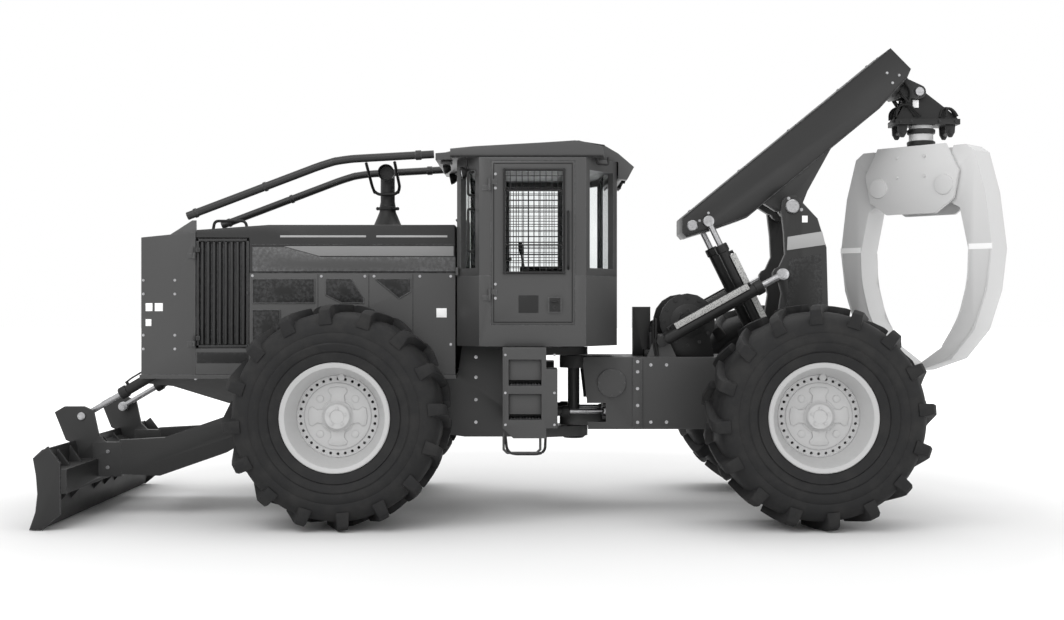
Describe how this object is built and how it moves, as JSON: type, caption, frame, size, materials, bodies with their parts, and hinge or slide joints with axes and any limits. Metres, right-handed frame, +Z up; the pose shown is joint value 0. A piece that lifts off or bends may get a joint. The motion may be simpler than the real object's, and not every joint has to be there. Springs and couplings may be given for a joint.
{
  "type": "articulated grapple skidder",
  "caption": "Articulated forestry skidder with front blade, guarded cab, large lugged tyres, and a rear arch and boom carrying a hanging log grapple.",
  "frame": {"origin": "on the ground, midway along the machine's overall length and on its centre plane", "axes": "+X to the rear (grapple end), +Y to the machine's right, +Z up"},
  "size_m": [8.4305, 3.26, 4.176],
  "materials": {
    "body_grey": "satin mid grey paint, light wear at edges",
    "dark_grey": "satin dark grey paint",
    "silver_wheel": "light silver paint",
    "bare_steel": "polished rod or worn bare steel",
    "grapple_grey": "pale grey paint with white bands",
    "tyre": "matt black rubber",
    "glass": "clear cab pane",
    "cushion": "black woven cushion cloth"
  },
  "bodies": {
    "root": {"front_frame": "body_grey", "front_axle": "dark_grey", "radiator_housing": "body_grey", "engine_block": "dark_grey", "hood": "dark_grey", "side_panel_left": "body_grey", "side_panel_right": "body_grey", "limb_riser_left": "dark_grey", "limb_riser_right": "dark_grey", "exhaust_stack": "bare_steel", "cab_tub": "body_grey", "cab_frame": "body_grey", "cab_roof": "body_grey", "windshield": "glass", "rear_window": "glass", "operator_seat": "cushion", "steps_left": "body_grey", "steps_right": "body_grey"},
    "cab_door_left": {"cab_door_left": "body_grey", "door_glass_left": "glass"},
    "grille_door_left": {"grille_door_left": "dark_grey"},
    "steering_barrel_left": {"steering_barrel_left": "dark_grey"},
    "steering_rod_left": {"steering_rod_left": "bare_steel"},
    "front_wheel_left": {"front_tyre_left": "tyre", "front_rim_left": "silver_wheel"},
    "rear_wheel_left": {"rear_tyre_left": "tyre", "rear_rim_left": "silver_wheel"},
    "cab_door_right": {"cab_door_right": "body_grey", "door_glass_right": "glass"},
    "grille_door_right": {"grille_door_right": "dark_grey"},
    "steering_barrel_right": {"steering_barrel_right": "dark_grey"},
    "steering_rod_right": {"steering_rod_right": "bare_steel"},
    "front_wheel_right": {"front_tyre_right": "tyre", "front_rim_right": "silver_wheel"},
    "rear_wheel_right": {"rear_tyre_right": "tyre", "rear_rim_right": "silver_wheel"},
    "front_grille": {"front_grille": "dark_grey"},
    "blade": {"blade": "dark_grey"},
    "blade_cylinder_barrels": {"blade_cylinder_barrels": "dark_grey"},
    "blade_cylinder_rods": {"blade_cylinder_rod_left": "bare_steel", "blade_cylinder_rod_right": "bare_steel"},
    "arch_cylinder_barrels": {"arch_cylinder_barrels": "dark_grey"},
    "arch_cylinder_rods": {"arch_cylinder_rod_left": "bare_steel", "arch_cylinder_rod_right": "bare_steel"},
    "boom_cylinder_barrels": {"boom_cylinder_barrels": "dark_grey"},
    "boom_cylinder_rods": {"boom_cylinder_rod_left": "bare_steel", "boom_cylinder_rod_right": "bare_steel"},
    "rear_frame": {"rear_frame": "body_grey", "rear_axle": "dark_grey", "winch_housing": "dark_grey"},
    "winch_drum": {"winch_drum": "bare_steel"},
    "arch": {"arch": "dark_grey"},
    "boom": {"boom": "dark_grey"},
    "grapple_yoke": {"grapple_yoke": "dark_grey"},
    "grapple_head": {"grapple_head": "grapple_grey"},
    "tong_near": {"tong_near": "grapple_grey"},
    "tong_far": {"tong_far": "grapple_grey"}
  },
  "joints": [
    {"name": "articulation", "type": "hinge", "parent": "root", "child": "rear_frame", "pos_m": [0.385, 0, 1.05], "axis": [0, 0, 1], "range_deg": [-40, 40]},
    {"name": "steering_barrel_left", "type": "hinge", "parent": "root", "child": "steering_barrel_left", "pos_m": [-0.2, -0.33, 0.885], "axis": [0, 0, 1], "range_deg": [-15, 15]},
    {"name": "steering_rod_left", "type": "slide", "parent": "steering_barrel_left", "child": "steering_rod_left", "axis": [0.9976, 0.0692, 0], "range_m": [-0.24, 0.24]},
    {"name": "steering_barrel_right", "type": "hinge", "parent": "root", "child": "steering_barrel_right", "pos_m": [-0.2, 0.33, 0.885], "axis": [0, 0, 1], "range_deg": [-15, 15]},
    {"name": "steering_rod_right", "type": "slide", "parent": "steering_barrel_right", "child": "steering_rod_right", "axis": [0.9976, -0.0692, 0], "range_m": [-0.24, 0.24]},
    {"name": "front_wheel_left", "type": "hinge", "parent": "root", "child": "front_wheel_left", "pos_m": [-1.598, -1.245, 0.925], "axis": [0, 1, 0], "continuous": true},
    {"name": "front_wheel_right", "type": "hinge", "parent": "root", "child": "front_wheel_right", "pos_m": [-1.598, 1.245, 0.925], "axis": [0, 1, 0], "continuous": true},
    {"name": "rear_wheel_left", "type": "hinge", "parent": "rear_frame", "child": "rear_wheel_left", "pos_m": [2.361, -1.245, 0.925], "axis": [0, 1, 0], "continuous": true},
    {"name": "rear_wheel_right", "type": "hinge", "parent": "rear_frame", "child": "rear_wheel_right", "pos_m": [2.361, 1.245, 0.925], "axis": [0, 1, 0], "continuous": true},
    {"name": "cab_door_left", "type": "hinge", "parent": "root", "child": "cab_door_left", "pos_m": [-0.362, -0.995, 2.3], "axis": [0, 0, -1], "range_deg": [0, 100]},
    {"name": "grille_door_left", "type": "hinge", "parent": "root", "child": "grille_door_left", "pos_m": [-2.948, -0.715, 1.9], "axis": [0, 0, -1], "range_deg": [0, 110]},
    {"name": "cab_door_right", "type": "hinge", "parent": "root", "child": "cab_door_right", "pos_m": [-0.362, 0.995, 2.3], "axis": [0, 0, 1], "range_deg": [0, 100]},
    {"name": "grille_door_right", "type": "hinge", "parent": "root", "child": "grille_door_right", "pos_m": [-2.948, 0.715, 1.9], "axis": [0, 0, 1], "range_deg": [0, 110]},
    {"name": "front_grille", "type": "hinge", "parent": "root", "child": "front_grille", "pos_m": [-3.456, -0.475, 1.8], "axis": [0, 0, 1], "range_deg": [0, 110]},
    {"name": "blade", "type": "hinge", "parent": "root", "child": "blade", "pos_m": [-2.15, 0, 0.9], "axis": [0, -1, 0], "range_deg": [-17, 6]},
    {"name": "blade_cylinder_barrels", "type": "hinge", "parent": "root", "child": "blade_cylinder_barrels", "pos_m": [-3.05, 0, 1.4], "axis": [0, 1, 0], "range_deg": [-12, 31]},
    {"name": "blade_cylinder_rods", "type": "slide", "parent": "blade_cylinder_barrels", "child": "blade_cylinder_rods", "axis": [-0.8617, 0, -0.5074], "range_m": [-0.22, 0.1]},
    {"name": "winch_drum", "type": "hinge", "parent": "rear_frame", "child": "winch_drum", "pos_m": [1.4, 0, 1.7], "axis": [0, 1, 0], "continuous": true},
    {"name": "arch", "type": "hinge", "parent": "rear_frame", "child": "arch", "pos_m": [2.36, 0, 1.24], "axis": [0, 1, 0], "range_deg": [-3, 25]},
    {"name": "arch_cylinder_barrels", "type": "hinge", "parent": "rear_frame", "child": "arch_cylinder_barrels", "pos_m": [1.156, 0, 1.523], "axis": [0, 1, 0], "range_deg": [-2, 9]},
    {"name": "arch_cylinder_rods", "type": "slide", "parent": "arch_cylinder_barrels", "child": "arch_cylinder_rods", "axis": [0.8747, 0, 0.4847], "range_m": [-0.05, 0.34]},
    {"name": "boom", "type": "hinge", "parent": "arch", "child": "boom", "pos_m": [2.333, 0, 2.728], "axis": [0, -1, 0], "range_deg": [-48, 10]},
    {"name": "boom_cylinder_barrels", "type": "hinge", "parent": "arch", "child": "boom_cylinder_barrels", "pos_m": [2.1, 0, 1.56], "axis": [0, 1, 0], "range_deg": [-4, 15]},
    {"name": "boom_cylinder_rods", "type": "slide", "parent": "boom_cylinder_barrels", "child": "boom_cylinder_rods", "axis": [-0.4403, 0, 0.8979], "range_m": [-0.13, 0.52]},
    {"name": "grapple_yoke", "type": "hinge", "parent": "boom", "child": "grapple_yoke", "pos_m": [3.547, 0, 3.8], "axis": [0, -1, 0], "range_deg": [-10, 48]},
    {"name": "grapple_rotation", "type": "hinge", "parent": "grapple_yoke", "child": "grapple_head", "pos_m": [3.6, 0, 3.4], "axis": [0, 0, 1], "continuous": true},
    {"name": "tong_near", "type": "hinge", "parent": "grapple_head", "child": "tong_near", "pos_m": [3.83335, -0.23335, 2.93], "axis": [-0.7071, -0.7071, 0], "range_deg": [0, 26]},
    {"name": "tong_far", "type": "hinge", "parent": "grapple_head", "child": "tong_far", "pos_m": [3.36665, 0.23335, 2.93], "axis": [0.7071, 0.7071, 0], "range_deg": [0, 26]}
  ],
  "couplings": [
    {"joint": "steering_barrel_left", "follows": "articulation", "ratio": 0.275},
    {"joint": "steering_rod_left", "follows": "articulation", "m_per_rad": 0.27731},
    {"joint": "steering_barrel_right", "follows": "articulation", "ratio": 0.275},
    {"joint": "steering_rod_right", "follows": "articulation", "m_per_rad": -0.27731},
    {"joint": "blade_cylinder_barrels", "follows": "blade", "ratio": -1.7839},
    {"joint": "blade_cylinder_rods", "follows": "blade", "m_per_rad": 0.72239},
    {"joint": "arch_cylinder_barrels", "follows": "arch", "ratio": 0.3072},
    {"joint": "arch_cylinder_rods", "follows": "arch", "m_per_rad": 0.77059},
    {"joint": "boom_cylinder_barrels", "follows": "boom", "ratio": -0.28595},
    {"joint": "boom_cylinder_rods", "follows": "boom", "m_per_rad": -0.61499},
    {"joint": "grapple_yoke", "follows": "boom", "ratio": -1},
    {"joint": "tong_far", "follows": "tong_near", "ratio": 1}
  ]
}
